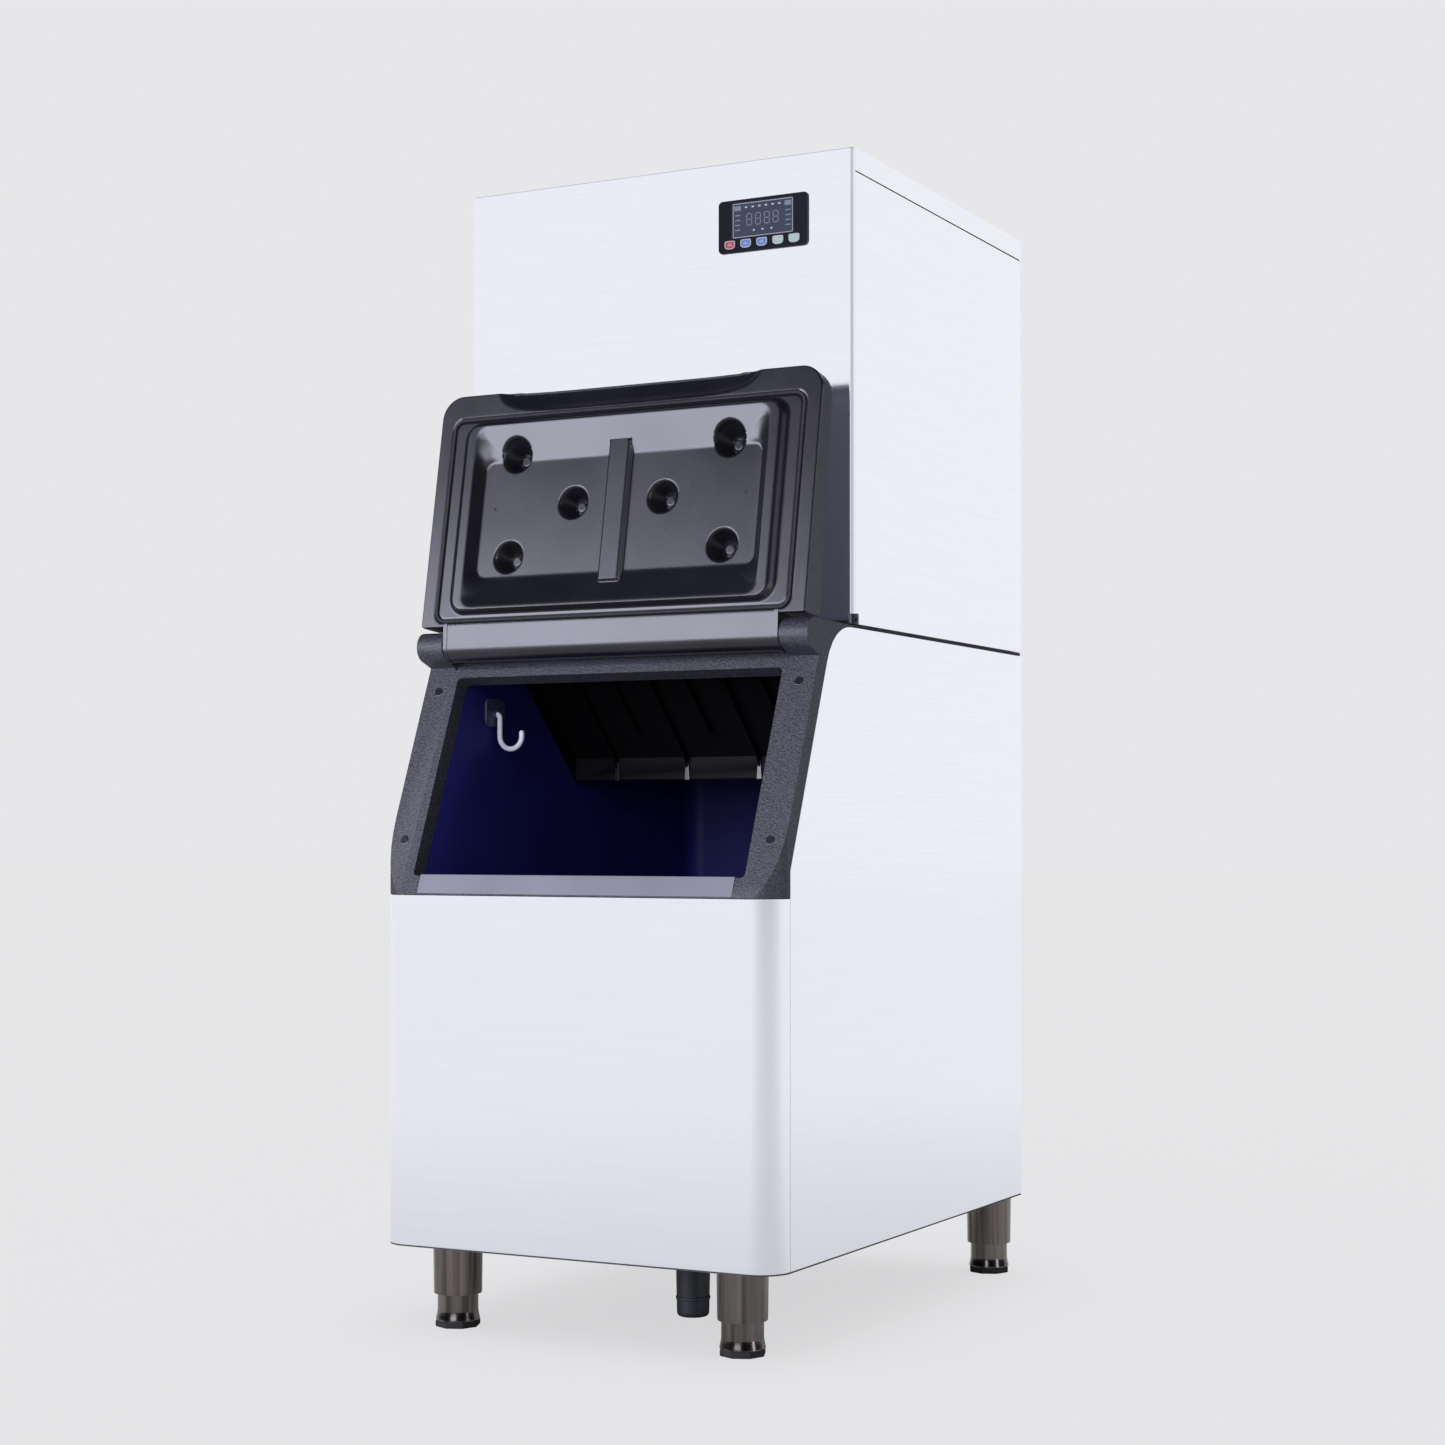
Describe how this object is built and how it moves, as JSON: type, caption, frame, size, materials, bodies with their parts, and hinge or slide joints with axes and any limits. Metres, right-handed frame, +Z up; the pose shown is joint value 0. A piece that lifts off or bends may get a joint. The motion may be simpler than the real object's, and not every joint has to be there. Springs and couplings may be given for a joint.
{
  "type": "modular ice maker",
  "caption": "Upright ice-making head on an insulated storage bin with a slanted lift-up lid, a scoop hook, an ice deflector and levelling legs.",
  "frame": {"origin": "on the floor, under the middle of the machine's outline", "axes": "+Z up, +X to the right of someone who faces the lid, -Y out of the front; the part stands as pictured, with the lid open"},
  "size_m": [0.56, 0.795, 1.477],
  "materials": {
    "stainless": "brushed stainless sheet, fine grain",
    "galvanised": "galvanised sheet, dull",
    "leg_steel": "turned stainless, smoky grey",
    "frame_black": "moulded black plastic with a fine grain",
    "lid_black": "formed black plastic, half gloss",
    "liner_blue": "formed dark blue plastic",
    "foam": "rigid foam",
    "hook_white": "white coated rod",
    "rubber_black": "soft black rubber",
    "panel_black": "black panel",
    "display": "grey liquid crystal window",
    "button_red": "red key",
    "button_blue": "blue key",
    "button_pale": "pale green key",
    "circuit_board": "green board",
    "evaporator_metal": "nickel-plated grid",
    "water_plastic": "pale water-side plastic",
    "dark_plastic": "dark plastic",
    "compressor_paint": "black paint",
    "condenser_metal": "bare fins and blades",
    "motor_paint": "grey paint"
  },
  "bodies": {
    "cabinet": {"bin_front_panel": "stainless", "bin_side_panel_left": "stainless", "bin_side_panel_right": "stainless", "head_front_panel": "stainless", "head_side_panel_left": "stainless", "head_side_panel_right": "stainless", "head_top_cover": "stainless", "bin_back_panel": "galvanised", "bin_base_pan": "galvanised", "head_back_panel": "galvanised", "head_rear_grille": "galvanised", "head_base_tray": "galvanised", "machine_partition": "galvanised", "hinge_pin_left": "leg_steel", "hinge_pin_right": "leg_steel", "leg_sleeve_front_left": "leg_steel", "leg_sleeve_front_right": "leg_steel", "leg_sleeve_rear_left": "leg_steel", "leg_sleeve_rear_right": "leg_steel", "door_frame": "frame_black", "ice_deflector": "lid_black", "scoop_hook_plate": "lid_black", "drain_spout": "lid_black", "head_lock_left": "lid_black", "head_lock_right": "lid_black", "power_cord_gland": "lid_black", "bin_liner": "liner_blue", "bin_foam_insulation": "foam", "scoop_hook": "hook_white", "seam_gasket": "rubber_black", "control_bezel": "panel_black", "control_display": "display", "control_board": "circuit_board", "evaporator_plate": "evaporator_metal", "water_spray_tube": "water_plastic", "water_inlet_valve": "water_plastic", "water_trough": "dark_plastic", "water_pump": "dark_plastic", "fan_shroud": "dark_plastic", "compressor": "compressor_paint", "condenser": "condenser_metal", "fan_motor": "motor_paint"},
    "lid": {"lid_inner_panel": "lid_black", "lid_outer_cover": "lid_black", "lid_gasket": "rubber_black"},
    "button_1": {"control_button_1": "button_red"},
    "button_2": {"control_button_2": "button_blue"},
    "button_3": {"control_button_3": "button_blue"},
    "button_4": {"control_button_4": "button_pale"},
    "button_5": {"control_button_5": "button_pale"},
    "foot_front_left": {"levelling_foot_front_left": "leg_steel", "foot_pad_front_left": "rubber_black"},
    "foot_front_right": {"levelling_foot_front_right": "leg_steel", "foot_pad_front_right": "rubber_black"},
    "foot_rear_left": {"levelling_foot_rear_left": "leg_steel", "foot_pad_rear_left": "rubber_black"},
    "foot_rear_right": {"levelling_foot_rear_right": "leg_steel", "foot_pad_rear_right": "rubber_black"},
    "curtain": {"water_curtain": "water_plastic"},
    "fan": {"condenser_fan": "condenser_metal"}
  },
  "joints": [
    {"name": "lid_hinge", "type": "hinge", "parent": "cabinet", "child": "lid", "pos_m": [0, -0.29369, 0.865], "axis": [1, 0, 0], "range_deg": [0, 168.2]},
    {"name": "button_1_press", "type": "slide", "parent": "cabinet", "child": "button_1", "axis": [0, 1, 0], "range_m": [0, 0.0015], "stiffness_N_per_m": 400},
    {"name": "button_2_press", "type": "slide", "parent": "cabinet", "child": "button_2", "axis": [0, 1, 0], "range_m": [0, 0.0015], "stiffness_N_per_m": 400},
    {"name": "button_3_press", "type": "slide", "parent": "cabinet", "child": "button_3", "axis": [0, 1, 0], "range_m": [0, 0.0015], "stiffness_N_per_m": 400},
    {"name": "button_4_press", "type": "slide", "parent": "cabinet", "child": "button_4", "axis": [0, 1, 0], "range_m": [0, 0.0015], "stiffness_N_per_m": 400},
    {"name": "button_5_press", "type": "slide", "parent": "cabinet", "child": "button_5", "axis": [0, 1, 0], "range_m": [0, 0.0015], "stiffness_N_per_m": 400},
    {"name": "foot_front_left_height", "type": "slide", "parent": "cabinet", "child": "foot_front_left", "axis": [0, 0, 1], "range_m": [-0.02, 0.008]},
    {"name": "foot_front_right_height", "type": "slide", "parent": "cabinet", "child": "foot_front_right", "axis": [0, 0, 1], "range_m": [-0.02, 0.008]},
    {"name": "foot_rear_left_height", "type": "slide", "parent": "cabinet", "child": "foot_rear_left", "axis": [0, 0, 1], "range_m": [-0.02, 0.008]},
    {"name": "foot_rear_right_height", "type": "slide", "parent": "cabinet", "child": "foot_rear_right", "axis": [0, 0, 1], "range_m": [-0.02, 0.008]},
    {"name": "curtain_swing", "type": "hinge", "parent": "cabinet", "child": "curtain", "pos_m": [0, 0.0405, 1.393], "axis": [-1, 0, 0], "range_deg": [0, 25]},
    {"name": "fan_spin", "type": "hinge", "parent": "cabinet", "child": "fan", "pos_m": [0.12, 0.3115, 1.0123], "axis": [0, 1, 0], "continuous": true}
  ]
}
